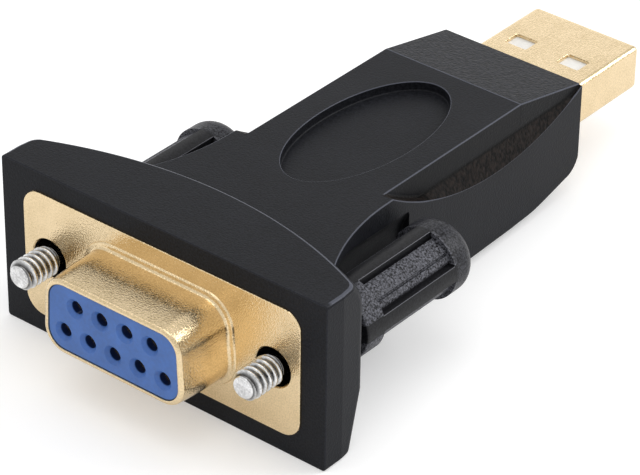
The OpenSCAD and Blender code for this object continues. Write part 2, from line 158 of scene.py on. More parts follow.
# Mesh helpers ---------------------------------------------------------------


def new_object(name, mesh):
    piece = bpy.data.objects.new(name, mesh)
    bpy.context.scene.collection.objects.link(piece)
    return piece


def solid_through(name, loops):
    """Closed mesh through loops of one length each, capped at both ends"""
    shape = bmesh.new()
    rows = [[shape.verts.new(point) for point in loop] for loop in loops]
    count = len(loops[0])
    for first, second in zip(rows, rows[1:]):
        for i in range(count):
            j = (i + 1) % count
            shape.faces.new((first[i], first[j], second[j], second[i]))
    shape.faces.new(rows[0])
    shape.faces.new(rows[-1])
    bmesh.ops.remove_doubles(shape, verts=shape.verts, dist=2e-4)
    bmesh.ops.dissolve_degenerate(shape, edges=shape.edges, dist=1e-4)
    bmesh.ops.recalc_face_normals(shape, faces=shape.faces)
    mesh = bpy.data.meshes.new(name)
    shape.to_mesh(mesh)
    shape.free()
    return new_object(name, mesh)


def turned(name, profile, x=0.0, z=0.0, steps=64):
    """Solid turned about an axis along Y, from (y, radius) pairs"""
    loops = []
    for y, radius in profile:
        radius = max(radius, 1e-3)
        loops.append([
            (x + radius * math.cos(math.tau * i / steps), y, z + radius * math.sin(math.tau * i / steps))
            for i in range(steps)
        ])
    return solid_through(name, loops)


def rounded_corners(corners, steps=4):
    """Points round a polygon of (a, b, radius) corners. Each corner gives steps + 1 points."""
    points = []
    count = len(corners)
    for i, (a, b, radius) in enumerate(corners):
        here = Vector((a, b))
        before = Vector(corners[i - 1][:2]) - here
        after = Vector(corners[(i + 1) % count][:2]) - here
        reach = min(before.length, after.length) * 0.49
        if reach < 1e-4 or radius < 1e-4:
            points += [here] * (steps + 1)
            continue
        before.normalize()
        after.normalize()
        half = before.angle(after) / 2
        if half > math.radians(89):
            points += [here] * (steps + 1)
            continue
        tangent = min(radius / math.tan(half), reach)
        radius = tangent * math.tan(half)
        middle = here + (before + after).normalized() * (radius / math.sin(half))
        start = here + before * tangent - middle
        end = here + after * tangent - middle
        sweep = start.angle_signed(end)
        for k in range(steps + 1):
            angle = -sweep * k / steps
            turn = Matrix.Rotation(angle, 2)
            points.append(middle + turn @ start)
    return points


def along_y(points, y):
    return [(p[0], y, p[1]) for p in points]


def cut(piece, tool, operation="DIFFERENCE"):
    """Cuts or joins with the exact solver and removes the tool"""
    step = piece.modifiers.new("cut", "BOOLEAN")
    step.operation = operation
    step.solver = "EXACT"
    step.object = tool
    make_real(piece)
    bpy.data.objects.remove(tool)


def make_real(piece):
    """Turns the piece with its modifiers into a plain mesh"""
    bpy.context.view_layer.update()
    seen = piece.evaluated_get(bpy.context.evaluated_depsgraph_get())
    mesh = bpy.data.meshes.new_from_object(seen)
    piece.modifiers.clear()
    piece.data = mesh
    mesh.name = piece.name


def soften(piece, width, angle=35, segments=2):
    """Rounds the edges that are sharper than the angle"""
    step = piece.modifiers.new("soften", "BEVEL")
    step.width = width
    step.segments = segments
    step.limit_method = "ANGLE"
    step.angle_limit = math.radians(angle)
    step.use_clamp_overlap = True
    step.miter_outer = "MITER_ARC"
    make_real(piece)


def smooth(piece, angle=34):
    """Smooth shading that keeps sharp edges and flat faces"""
    piece.data.shade_smooth()
    piece.data.set_sharp_from_angle(angle=math.radians(angle))
    step = piece.modifiers.new("normals", "WEIGHTED_NORMAL")
    step.keep_sharp = True
    step.weight = 80
    make_real(piece)


def mark_edges(piece, widest=0.09, bend=2.5):
    """Marks the narrow faces along outer edges, which handling and the mould leave smoother and on which the finishes
    paint a highlight
    """
    shape = bmesh.new()
    shape.from_mesh(piece.data)
    marks = []
    for face in shape.faces:
        longest = max(edge.calc_length() for edge in face.edges)
        turns = [edge.calc_face_angle_signed(0.0) for edge in face.edges
                 if len(edge.link_faces) == 2 and edge.calc_length() > longest * 0.5]
        outer = turns and max(turns) > math.radians(bend) and min(turns) > -math.radians(bend)
        marks.append(1.0 if outer and face.calc_area() < longest * widest else 0.0)
    shape.free()
    layer = piece.data.attributes.new("edge_mark", "FLOAT", "FACE")
    layer.data.foreach_set("value", marks)


def finish_piece(piece, material, body, nodes, angle=34):
    """Brings a piece to metres and gives it its finish and its place in the frame"""
    smooth(piece, angle)
    mark_edges(piece)
    piece.data.transform(Matrix.Scale(MM, 4))
    piece.data.materials.clear()
    piece.data.materials.append(material)
    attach(piece, body)
    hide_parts(*nodes)
    return piece


# Geometry Nodes trees -------------------------------------------------------


class Tree:
    """A node tree under construction"""

    def __init__(self, name, kind):
        self.tree = bpy.data.node_groups.new(name, kind)
        self.inputs = {}

    def socket(self, name, kind, default=None, output=False):
        made = self.tree.interface.new_socket(
            name=name, in_out="OUTPUT" if output else "INPUT", socket_type=kind
        )
        if default is not None:
            made.default_value = default
        self.inputs[name] = made.identifier
        return made

    def open(self):
        self.source = self.tree.nodes.new("NodeGroupInput")
        self.sink = self.tree.nodes.new("NodeGroupOutput")

    def node(self, kind, links=None, **settings):
        made = self.tree.nodes.new(kind)
        for name, value in settings.items():
            setattr(made, name, value)
        for name, value in (links or {}).items():
            self.feed(made.inputs[name], value)
        return made

    def feed(self, socket, value):
        if isinstance(value, bpy.types.NodeSocket):
            self.tree.links.new(value, socket)
        elif isinstance(value, str) and value in self.source.outputs:
            self.tree.links.new(self.source.outputs[value], socket)
        else:
            socket.default_value = value

    def math(self, operation, *values):
        made = self.tree.nodes.new("ShaderNodeMath")
        made.operation = operation
        for socket, value in zip(made.inputs, values):
            self.feed(socket, value)
        return made.outputs[0]


def set_inputs(piece, tree, values):
    """Adds a Geometry Nodes modifier and sets its inputs by their identifiers"""
    step = piece.modifiers.new(tree.tree.name, "NODES")
    step.node_group = tree.tree
    for name, value in values.items():
        step[tree.inputs[name]] = value
    return step


def end_tree(tree, geometry):
    real = tree.node("GeometryNodeRealizeInstances", {"Geometry": geometry})
    finish = tree.node("GeometryNodeSetMaterial", {"Geometry": real.outputs[0], "Material": "Material"})
    tree.feed(tree.sink.inputs["Result"], finish.outputs[0])
    return tree


def thread_tree():
    """Raises a right-hand thread on a turned blank that lies along Y"""
    tree = Tree("screw_thread", "GeometryNodeTree")
    tree.socket("Blank", "NodeSocketGeometry")
    tree.socket("Thread Radius", "NodeSocketFloat", 1.42)
    tree.socket("Core Radius", "NodeSocketFloat", 1.06)
    tree.socket("Pitch", "NodeSocketFloat", 0.635)
    tree.socket("Start", "NodeSocketFloat", -3.9)
    tree.socket("End", "NodeSocketFloat", 0.05)
    tree.socket("Fade", "NodeSocketFloat", 0.35)
    tree.socket("Axis X", "NodeSocketFloat", 12.5)
    tree.socket("Material", "NodeSocketMaterial")
    tree.socket("Result", "NodeSocketGeometry", output=True)
    tree.open()
    place = tree.node("ShaderNodeSeparateXYZ", {0: tree.node("GeometryNodeInputPosition").outputs[0]})
    x, y, z = place.outputs
    side = tree.math("SUBTRACT", x, "Axis X")
    turn = tree.math("DIVIDE", tree.math("ARCTAN2", side, z), math.tau)
    phase = tree.math("FRACT", tree.math("SUBTRACT", tree.math("DIVIDE", y, "Pitch"), turn))
    wave = tree.math("ABSOLUTE", tree.math("SUBTRACT", tree.math("MULTIPLY", phase, 2.0), 1.0))
    flank = tree.node("ShaderNodeMapRange", {0: wave, 1: 0.12, 2: 0.84}, interpolation_type="SMOOTHSTEP")
    rise = tree.math("DIVIDE", tree.math("SUBTRACT", y, "Start"), "Fade")
    fall = tree.math("DIVIDE", tree.math("SUBTRACT", "End", y), "Fade")
    fade = tree.math("MINIMUM", tree.math("MINIMUM", rise, fall), 1.0)
    fade = tree.math("MAXIMUM", fade, 0.0)
    height = tree.math("SUBTRACT", "Thread Radius", "Core Radius")
    raised = tree.math("MULTIPLY", tree.math("MULTIPLY", height, flank.outputs[0]), fade)
    outward = tree.node("ShaderNodeCombineXYZ", {"X": side, "Z": z})
    unit = tree.node("ShaderNodeVectorMath", {0: outward.outputs[0]}, operation="NORMALIZE")
    push = tree.node("ShaderNodeVectorMath", {0: unit.outputs[0]}, operation="SCALE")
    tree.feed(push.inputs["Scale"], raised)
    moved = tree.node("GeometryNodeSetPosition", {"Geometry": "Blank", "Offset": push.outputs[0]})
    return end_tree(tree, moved.outputs[0])


def entry_tree():
    """Bores and countersinks both rows of contact entries in the insulator"""
    tree = Tree("contact_entries", "GeometryNodeTree")
    tree.socket("Blank", "NodeSocketGeometry")
    tree.socket("Contact Pitch", "NodeSocketFloat", 2.77)
    tree.socket("Row Distance", "NodeSocketFloat", 2.84)
    tree.socket("Wide Count", "NodeSocketInt", 5)
    tree.socket("Face Level", "NodeSocketFloat", -5.8)
    tree.socket("Entry Radius", "NodeSocketFloat", 0.6)
    tree.socket("Sink Radius", "NodeSocketFloat", 0.94)
    tree.socket("Sink Depth", "NodeSocketFloat", 0.6)
    tree.socket("Entry Depth", "NodeSocketFloat", 3.0)
    tree.socket("Material", "NodeSocketMaterial")
    tree.socket("Result", "NodeSocketGeometry", output=True)
    tree.open()
    rows = tree.node("GeometryNodeJoinGeometry")
    for side, fewer in ((-1, 0), (1, 1)):
        count = tree.math("SUBTRACT", "Wide Count", fewer)
        first = tree.math("MULTIPLY", tree.math("SUBTRACT", count, 1.0), tree.math("MULTIPLY", "Contact Pitch", -0.5))
        start = tree.node("ShaderNodeCombineXYZ", {
            "X": first, "Y": "Face Level", "Z": tree.math("MULTIPLY", "Row Distance", side * 0.5),
        })
        offset = tree.node("ShaderNodeCombineXYZ", {"X": "Contact Pitch"})
        line = tree.node("GeometryNodeMeshLine", {
            "Count": count, "Start Location": start.outputs[0], "Offset": offset.outputs[0],
        })
        tree.tree.links.new(line.outputs[0], rows.inputs[0])
    bored = tree.source.outputs["Blank"]
    outside = 0.3
    slope = tree.math("DIVIDE", tree.math("SUBTRACT", "Sink Radius", "Entry Radius"), "Sink Depth")
    wide = tree.math("ADD", "Sink Radius", tree.math("MULTIPLY", slope, outside))
    sink_length = tree.math("ADD", "Sink Depth", outside)
    tools = (
        tree.node("GeometryNodeMeshCone", {
            "Vertices": 40, "Radius Top": wide, "Radius Bottom": "Entry Radius", "Depth": sink_length,
        }),
        tree.node("GeometryNodeMeshCylinder", {
            "Vertices": 40, "Radius": "Entry Radius", "Depth": "Entry Depth",
        }),
    )
    for i, tool in enumerate(tools):
        if i == 0:
            shift = tree.node("ShaderNodeCombineXYZ", {"Y": "Sink Depth"})
        else:
            shift = tree.node("ShaderNodeCombineXYZ", {"Y": tree.math("MULTIPLY", "Entry Depth", 0.5)})
        placed = tree.node("GeometryNodeTransform", {
            "Geometry": tool.outputs[0], "Translation": shift.outputs[0], "Rotation": (math.pi / 2, 0, 0),
        })
        spread = tree.node("GeometryNodeInstanceOnPoints", {
            "Points": rows.outputs[0], "Instance": placed.outputs[0],
        })
        real = tree.node("GeometryNodeRealizeInstances", {"Geometry": spread.outputs[0]})
        bore = tree.node("GeometryNodeMeshBoolean", operation="DIFFERENCE", solver="EXACT")
        tree.tree.links.new(bored, bore.inputs[0])
        tree.tree.links.new(real.outputs[0], bore.inputs[1])
        bored = bore.outputs[0]
    return end_tree(tree, bored)


def panel_tree():
    """Cuts the grip panels between the ribs of a knob that lies along Y"""
    tree = Tree("knob_panels", "GeometryNodeTree")
    tree.socket("Blank", "NodeSocketGeometry")
    tree.socket("Cutter", "NodeSocketObject")
    tree.socket("Rib Count", "NodeSocketInt", 4)
    tree.socket("Rib Turn", "NodeSocketFloat", 0.0)
    tree.socket("Axis X", "NodeSocketFloat", 12.5)
    tree.socket("Material", "NodeSocketMaterial")
    tree.socket("Result", "NodeSocketGeometry", output=True)
    tree.open()
    cutter = tree.node("GeometryNodeObjectInfo", {"Object": "Cutter"})
    step = tree.math("DIVIDE", math.tau, "Rib Count")
    angle = tree.math("ADD", tree.math("MULTIPLY", tree.node("GeometryNodeInputIndex").outputs[0], step), "Rib Turn")
    spin = tree.node("ShaderNodeCombineXYZ", {"Y": angle})
    centre = tree.node("ShaderNodeCombineXYZ", {"X": "Axis X"})
    line = tree.node("GeometryNodeMeshLine", {
        "Count": "Rib Count", "Start Location": centre.outputs[0], "Offset": (0, 0, 0),
    })
    spread = tree.node("GeometryNodeInstanceOnPoints", {
        "Points": line.outputs[0], "Instance": cutter.outputs["Geometry"], "Rotation": spin.outputs[0],
    })
    real = tree.node("GeometryNodeRealizeInstances", {"Geometry": spread.outputs[0]})
    carve = tree.node("GeometryNodeMeshBoolean", operation="DIFFERENCE", solver="EXACT")
    tree.tree.links.new(tree.source.outputs["Blank"], carve.inputs[0])
    tree.tree.links.new(real.outputs[0], carve.inputs[1])
    return end_tree(tree, carve.outputs[0])


# Materials ------------------------------------------------------------------


def grain_group():
    """Fine moulded or blasted grain, for bump and for the small changes of tone that go with it"""
    tree = Tree("fine_grain", "ShaderNodeTree")
    tree.socket("Vector", "NodeSocketVector")
    tree.socket("Grain Size", "NodeSocketFloat", 0.00012)
    tree.socket("Patch Size", "NodeSocketFloat", 0.004)
    tree.socket("Height", "NodeSocketFloat", output=True)
    tree.socket("Speckle", "NodeSocketFloat", output=True)
    tree.socket("Patches", "NodeSocketFloat", output=True)
    tree.open()
    fine = tree.node("ShaderNodeTexNoise", {
        "Vector": "Vector", "Scale": tree.math("DIVIDE", 0.6, "Grain Size"), "Detail": 2.0, "Roughness": 0.6,
    })
    cells = tree.node("ShaderNodeTexVoronoi", {
        "Vector": "Vector", "Scale": tree.math("DIVIDE", 0.8, "Grain Size"), "Randomness": 1.0,
    }, feature="SMOOTH_F1")
    broad = tree.node("ShaderNodeTexNoise", {
        "Vector": "Vector", "Scale": tree.math("DIVIDE", 1.0, "Patch Size"), "Detail": 3.0, "Roughness": 0.5,
    })
    height = tree.math("ADD", tree.math("MULTIPLY", fine.outputs[0], 0.7), tree.math("MULTIPLY", cells.outputs[0], 0.5))
    speckle = tree.node("ShaderNodeMapRange", {0: fine.outputs[0], 1: 0.36, 2: 0.66})
    patches = tree.node("ShaderNodeMapRange", {0: broad.outputs[0], 1: 0.35, 2: 0.65})
    tree.feed(tree.sink.inputs["Height"], height)
    tree.feed(tree.sink.inputs["Speckle"], speckle.outputs[0])
    tree.feed(tree.sink.inputs["Patches"], patches.outputs[0])
    return tree.tree


def scratch_group():
    """Long fine lines along Y, as drawing and rolling leave on sheet"""
    tree = Tree("drawn_lines", "ShaderNodeTree")
    tree.socket("Vector", "NodeSocketVector")
    tree.socket("Line Width", "NodeSocketFloat", 0.00008)
    tree.socket("Stretch", "NodeSocketFloat", 0.04)
    tree.socket("Lines", "NodeSocketFloat", output=True)
    tree.open()
    squeeze = tree.node("ShaderNodeCombineXYZ", {"X": 1.0, "Y": "Stretch", "Z": 1.0})
    long = tree.node("ShaderNodeVectorMath", {0: "Vector", 1: squeeze.outputs[0]}, operation="MULTIPLY")
    lines = tree.node("ShaderNodeTexNoise", {
        "Vector": long.outputs[0], "Scale": tree.math("DIVIDE", 0.5, "Line Width"), "Detail": 1.0,
    })
    tree.feed(tree.sink.inputs["Lines"], lines.outputs[0])
    return tree.tree


class Finish:
    """A material under construction around its Principled shader"""

    def __init__(self, name):
        self.material = bpy.data.materials.new(name)
        self.material.use_nodes = True
        self.tree = self.material.node_tree
        self.shader = self.tree.nodes["Principled BSDF"]
        self.place = self.tree.nodes.new("ShaderNodeTexCoord").outputs["Object"]

    def node(self, kind, links=None, **settings):
        made = self.tree.nodes.new(kind)
        for name, value in settings.items():
            setattr(made, name, value)
        for name, value in (links or {}).items():
            self.feed(made.inputs[name], value)
        return made

    def feed(self, socket, value):
        if isinstance(value, bpy.types.NodeSocket):
            self.tree.links.new(value, socket)
        else:
            socket.default_value = value

    def group(self, tree, **values):
        made = self.tree.nodes.new("ShaderNodeGroup")
        made.node_tree = tree
        self.feed(made.inputs["Vector"], values.pop("vector", self.place))
        for name, value in values.items():
            self.feed(made.inputs[name.replace("_", " ").title()], value)
        return made

    def math(self, operation, *values):
        made = self.tree.nodes.new("ShaderNodeMath")
        made.operation = operation
        for socket, value in zip(made.inputs, values):
            self.feed(socket, value)
        return made.outputs[0]

    def blend(self, share, first, second):
        made = self.node("ShaderNodeMix", data_type="RGBA")
        self.feed(made.inputs["Factor"], share)
        self.feed(made.inputs[6], first)
        self.feed(made.inputs[7], second)
        return made.outputs[2]

    def ramp(self, value, low, high, start, end):
        made = self.node("ShaderNodeMapRange", {0: value, 1: low, 2: high, 3: start, 4: end})
        return made.outputs[0]

    def bump(self, height, distance, strength=1.0):
        made = self.node("ShaderNodeBump", {"Height": height, "Distance": distance, "Strength": strength})
        self.feed(self.shader.inputs["Normal"], made.outputs[0])

    def set(self, **values):
        for name, value in values.items():
            self.feed(self.shader.inputs[name.replace("_", " ")], value)

    def edges(self):
        """Share of an outer edge: one on the marked faces, where the finishes paint a highlight"""
        return self.node("ShaderNodeAttribute", attribute_name="edge_mark").outputs["Fac"]


def rgb(colour, gain=1.0):
    return (min(colour[0] * gain, 1), min(colour[1] * gain, 1), min(colour[2] * gain, 1), 1)


def housing_finish(colour, grain):
    """Black moulded plastic: fine grain, coarser on the tail slope and on the grips' floors. Shade is painted into the
    grips' floors, walls and creases, and a highlight onto the marked edges.
    """
    made = Finish("housing_plastic")
    place = made.node("ShaderNodeSeparateXYZ", {0: made.place})
    x, y, z = place.outputs
    slope = made.math("MULTIPLY", made.ramp(y, 0.0402, 0.0404, 0, 1), made.ramp(z, 0.0024, 0.0028, 0, 1))
    slope = made.math("MULTIPLY", slope, made.ramp(made.math("ABSOLUTE", x), 0.0078, 0.0076, 0, 1))
    side = made.node("ShaderNodeCombineXYZ", {"Y": y, "Z": z})
    away = made.node("ShaderNodeVectorMath", {0: side.outputs[0], 1: (0, 0.0368, 0.03005)}, operation="DISTANCE")
    level = made.math("MAXIMUM", made.ramp(z, 0.0026, 0.0023, 0, 1),
                      made.ramp(away.outputs["Value"], 0.0298, 0.0299, 0, 1))
    grip = made.math("MULTIPLY", made.ramp(away.outputs["Value"], 0.03006, 0.03001, 0, 1), level)
    grip = made.math("MULTIPLY", grip, made.ramp(made.math("ABSOLUTE", x), 0.0076, 0.0078, 0, 1))
    rough = made.math("MAXIMUM", slope, grip)
    fine = made.group(grain, grain_size=0.00012, patch_size=0.005)
    coarse = made.group(grain, grain_size=0.00024, patch_size=0.003)
    tone = made.ramp(fine.outputs["Speckle"], 0, 1, 0.0, 0.6)
    tone = made.math("ADD", tone, made.math("MULTIPLY", fine.outputs["Patches"], 0.12))
    # Painted shade: the grain's tone is kept darker on the grips' floors
    coarse_tone = made.math("MULTIPLY", coarse.outputs["Speckle"], made.ramp(grip, 0, 1, 1.0, 0.3))
    share = made.node("ShaderNodeMix", data_type="FLOAT")
    made.feed(share.inputs[0], rough)
    made.feed(share.inputs[2], tone)
    made.feed(share.inputs[3], coarse_tone)
    base = made.blend(share.outputs[0], rgb(colour, 0.55), rgb(colour, 2.1))
    # Painted shade: the grips' floors are turned near black, with faint brownish specks, as shade in the recess
    grip_floor_shade = made.blend(coarse.outputs["Speckle"], (0.0004, 0.0003, 0.0003, 1), (0.019, 0.014, 0.012, 1))
    base = made.blend(grip, base, grip_floor_shade)
    behind = made.ramp(y, 0.0215, 0.0235, 0, 1)
    wall = made.math("MULTIPLY", made.ramp(made.math("ABSOLUTE", made.math("SUBTRACT", made.math("ABSOLUTE", x), 0.00775)),
                                           0.00004, 0.00008, 1, 0), made.ramp(z, 0.0023, 0.0024, 0, 0.6))
    crease = made.ramp(made.math("ABSOLUTE", made.math("SUBTRACT", z, 0.00235)), 0.00004, 0.00022, 1, 0)
    crease = made.math("MULTIPLY", crease, made.ramp(made.math("ABSOLUTE", x), 0.0079, 0.008, 1, 0))
    shade = made.math("MULTIPLY", made.math("MAXIMUM", wall, crease), behind)
    shade = made.math("MULTIPLY", shade, made.ramp(y, 0.0492, 0.0494, 1, 0))
    base = made.blend(shade, base, (0.0004, 0.0004, 0.0004, 1))
    # Painted highlight: the marked edges are lighter in colour, less so at the flange's front; they are also made less
    # rough
    polish_and_highlight = made.math("MULTIPLY", made.edges(), made.ramp(y, 0.0006, 0.001, 0.12, 1))
    made.set(Base_Color=made.blend(polish_and_highlight, base, rgb(colour, 8.0)))
    roughness = made.math("ADD", made.ramp(fine.outputs["Speckle"], 0, 1, 0.38, 0.52),
                          made.math("MULTIPLY", grip, 0.16))
    made.set(Roughness=made.math("SUBTRACT", roughness, made.math("MULTIPLY", polish_and_highlight, 0.14)))
    height = made.math("ADD", fine.outputs["Height"],
                       made.math("MULTIPLY", made.math("MULTIPLY", coarse.outputs["Height"], rough), 3.2))
    made.bump(height, 0.00004, 0.65)
    made.shader.inputs["Specular IOR Level"].default_value = 0.11
    return made.material


def knob_finish(colour, grain, axis_x, rib_width, rib_turn):
    """Black plastic, smooth on the ribs and coarsely grained between them and on the end, with a highlight painted
    along the marked edges
    """
    made = Finish("knob_plastic_left" if axis_x < 0 else "knob_plastic_right")
    place = made.node("ShaderNodeSeparateXYZ", {0: made.place})
    x, y, z = place.outputs
    across = made.math("SUBTRACT", x, axis_x)
    sine, cosine = math.sin(rib_turn), math.cos(rib_turn)
    first = made.math("ADD", made.math("MULTIPLY", across, cosine), made.math("MULTIPLY", z, sine))
    second = made.math("SUBTRACT", made.math("MULTIPLY", z, cosine), made.math("MULTIPLY", across, sine))
    away = made.math("MINIMUM", made.math("ABSOLUTE", first), made.math("ABSOLUTE", second))
    edge = rib_width / 2
    between = made.ramp(away, edge + 0.00002, edge + 0.00012, 0, 1)
    middle = made.ramp(y, 0.0206, 0.0203, 0.35, 1)
    end = made.ramp(y, 0.0203, 0.0206, 0, 0.33)
    rough = made.math("MAXIMUM", made.math("MULTIPLY", between, middle), end)
    fine = made.group(grain, grain_size=0.0001, patch_size=0.003)
    coarse = made.group(grain, grain_size=0.00011, patch_size=0.002)
    tone = made.math("MULTIPLY", fine.outputs["Speckle"], 0.09)
    share = made.node("ShaderNodeMix", data_type="FLOAT")
    made.feed(share.inputs[0], rough)
    made.feed(share.inputs[2], tone)
    made.feed(share.inputs[3], coarse.outputs["Speckle"])
    base = made.blend(share.outputs[0], rgb(colour, 0.4), rgb(colour, 13.0))
    # Painted highlight: the marked edges are lighter in colour
    made.set(Base_Color=made.blend(made.edges(), base, rgb(colour, 9.0)))
    made.set(Roughness=made.ramp(rough, 0, 1, 0.34, 0.42))
    height = made.math("ADD", made.math("MULTIPLY", fine.outputs["Height"], 0.3),
                       made.math("MULTIPLY", made.math("MULTIPLY", coarse.outputs["Height"], rough), 4.0))
    made.bump(height, 0.00003, 0.8)
    made.shader.inputs["Specular IOR Level"].default_value = 0.16
    return made.material


def gold_finish(name, colour, grain, lines):
    """Thin gold flash on drawn steel: pale, slightly mottled, with faint lines"""
    made = Finish(name)
    mottle = made.group(grain, grain_size=0.00009, patch_size=0.0022)
    drawn = made.group(lines, line_width=0.00007, stretch=0.05)
    tone = made.math("ADD", made.math("MULTIPLY", mottle.outputs["Patches"], 0.3),
                     made.math("MULTIPLY", mottle.outputs["Speckle"], 0.7))
    worn = (colour[0] * 0.86, colour[1] * 0.84, colour[2] * 0.76)
    made.set(Base_Color=made.blend(tone, rgb(worn), rgb(colour, 1.15)))
    made.set(Roughness=made.math("ADD", made.math("MULTIPLY", mottle.outputs["Speckle"], 0.08), 0.08))
    height = made.math("ADD", made.math("MULTIPLY", drawn.outputs["Lines"], 0.3),
                       made.math("MULTIPLY", mottle.outputs["Height"], 0.8))
    made.bump(height, 0.00004, 1.0)
    made.shader.inputs["Metallic"].default_value = 1.0
    return made.material


def steel_finish(colour, grain):
    """Nickel plate over a rolled thread: bright crests, and roots painted darker and duller as shade"""
    made = Finish("screw_steel")
    mottle = made.group(grain, grain_size=0.00012, patch_size=0.001)
    tone = made.math("ADD", made.math("MULTIPLY", mottle.outputs["Patches"], 0.5),
                     made.math("MULTIPLY", mottle.outputs["Speckle"], 0.5))
    place = made.node("ShaderNodeSeparateXYZ", {0: made.place})
    x, y, z = place.outputs
    across = made.math("SUBTRACT", made.math("ABSOLUTE", x), SCREW_X * MM)
    away = made.math("SQRT", made.math("ADD", made.math("MULTIPLY", across, across), made.math("MULTIPLY", z, z)))
    # Painted shade: the colour falls to 0.12 of its tone in the thread's roots, but not at the tip
    root_shade_factor = made.ramp(away, 0.00106, 0.00134, 0.12, 1)
    root_shade_factor = made.math("MAXIMUM", root_shade_factor, made.ramp(y, -0.00378, -0.0037, 1, 0))
    tone = made.math("MULTIPLY", made.math("ADD", made.math("MULTIPLY", tone, 0.5), 0.5), root_shade_factor)
    made.set(Base_Color=made.blend(tone, rgb(colour, 0.02), rgb(colour, 1.6)))
    made.set(Roughness=made.math("ADD", made.math("MULTIPLY", mottle.outputs["Speckle"], 0.12), 0.12))
    made.bump(mottle.outputs["Height"], 0.000012, 0.5)
    made.shader.inputs["Metallic"].default_value = 1.0
    return made.material


def plain_finish(name, dark, light, grain, size=0.0002, roughness=(0.4, 0.55), depth=0.00001, metallic=0.0):
    """Moulded, printed or plated finish with a soft mottle between two tones"""
    made = Finish(name)
    mottle = made.group(grain, grain_size=size, patch_size=size * 12)
    tone = made.math("ADD", made.math("MULTIPLY", mottle.outputs["Patches"], 0.55),
                     made.math("MULTIPLY", mottle.outputs["Speckle"], 0.45))
    made.set(Base_Color=made.blend(tone, rgb(dark), rgb(light)))
    made.set(Roughness=made.ramp(mottle.outputs["Speckle"], 0, 1, *roughness))
    made.bump(mottle.outputs["Height"], depth, 0.6)
    made.shader.inputs["Metallic"].default_value = metallic
    return made.material


def shared(name, maker):
    """A node group that is made once and used by every material that needs it"""
    return bpy.data.node_groups.get(name) or maker()


def grain_and_lines():
    return shared("fine_grain", grain_group), shared("drawn_lines", scratch_group)


def gold_material(context):
    grain, lines = grain_and_lines()
    colour = tuple(context.scene.adapter_connector.gold)
    return bpy.data.materials.get("gold_flash") or gold_finish("gold_flash", colour, grain, lines)


def dress(node, material):
    """Gives a CAD node that stays in view its procedural finish"""
    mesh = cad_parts[node].data
    mesh.materials.clear()
    mesh.materials.append(material)


# Housing --------------------------------------------------------------------

FLARE_END, FLARE_RADIUS = 19.6, 22.0
WAIST_HALF, TAIL_HALF = 8.9, 8.05
SLOPE_START, TOP_FALL = 40.3, 1.95
RISE_START, RISE_SOFTNESS, LOW_RISE, TAIL_ROUND = 42.5, 1.3, 1.55, 2.2
GRIP_MIDDLE, GRIP_RADIUS, GRIP_LOW = 36.8, 30.0, 0.05
GRIP_WALL, GRIP_CREASE = 7.75, 2.35
FLANGE_FRONT, FLANGE_CORNER = 0.2, 0.35
END_DRAFT = math.radians(7)
TOP_LEAN, TOP_DROP = 1.35, 2.75
LOW_LEAN, LOW_RISE_FROM = 1.45, 5.6


def fillet_inset(level, half, radius):
    """How far a rounded edge draws in at a level, for an edge at the given half height"""
    over = abs(level) - (half - radius)
    if over <= 0:
        return 0.0
    return radius - math.sqrt(max(radius * radius - over * over, 0))


def crown_lean(level, half):
    """How far the crowned back leans in at a level: an arc above and a straight draft below"""
    over = level - (half - TOP_DROP)
    if over > 0:
        bend = (TOP_DROP ** 2 + TOP_LEAN ** 2) / TOP_LEAN / 2
        return bend - math.sqrt(bend * bend - over * over)
    under = (LOW_RISE_FROM - half) - level
    return LOW_LEAN * under / LOW_RISE_FROM if under > 0 else 0.0


def flange_outline(half, front, band, middle, radius, corner, edge):
    """Outline in plan: rounded front edges, drafted ends, round corners and the crowned back"""
    lean = math.tan(END_DRAFT)
    side = half + band * lean - corner / math.cos(END_DRAFT)
    slope = 1 + lean * lean
    part = side * lean + middle
    corner_y = (part + math.sqrt(part ** 2 - slope * (side ** 2 + middle ** 2 - (radius - corner) ** 2))) / slope
    corner_x = side - lean * corner_y
    reach = math.atan2(corner_x, corner_y - middle)
    points = []
    for k in range(4):
        angle = math.pi / 2 * k / 3
        points.append((half - edge + edge * math.sin(angle), front + edge - edge * math.cos(angle)))
    points += [(half, band - 0.05), (half - 0.05 * lean, band + 0.05)]
    for k in range(8):
        angle = END_DRAFT + (math.pi / 2 - reach - END_DRAFT) * k / 7
        points.append((corner_x + corner * math.cos(angle), corner_y + corner * math.sin(angle)))
    for k in range(1, 24):
        angle = reach * (1 - k / 24)
        points.append((radius * math.sin(angle), middle + radius * math.cos(angle)))
    back = (0.0, middle + radius)
    return points + [back] + [(-a, b) for a, b in reversed(points)]


def flange_solid(s):
    half_w, half_h = s.flange_width / MM / 2, s.flange_height / MM / 2
    edge, crown, corner = s.flange_edge / MM, s.crown_radius / MM, s.crown_corner / MM
    back = FLANGE_FRONT + s.crown_depth / MM
    band = FLANGE_FRONT + s.flange_band / MM
    steps = [math.sin(math.radians(a)) for a in range(0, 91, 18)]
    levels = [half_h - edge + edge * t for t in steps]
    levels += [half_h - FLANGE_CORNER + FLANGE_CORNER * t for t in steps]
    levels += [half_h - TOP_DROP + TOP_DROP * t / 8 for t in range(8)]
    levels += [-level for level in levels[:12]]
    levels += [LOW_RISE_FROM - half_h + 0.4, LOW_RISE_FROM - half_h, LOW_RISE_FROM - half_h - 0.4, -5.5, 2.0]
    loops = []
    for level in sorted(set(round(v, 4) for v in levels)):
        rear = crown_lean(level, half_h) + fillet_inset(level, half_h, edge) * 0.8
        side = fillet_inset(level, half_h, FLANGE_CORNER)
        face = fillet_inset(level, half_h, edge)
        outline = flange_outline(half_w - side, FLANGE_FRONT + face, band, back - crown, crown - rear, corner, edge)
        loops.append([(x, y, level) for x, y in outline])
    return solid_through("housing", loops)


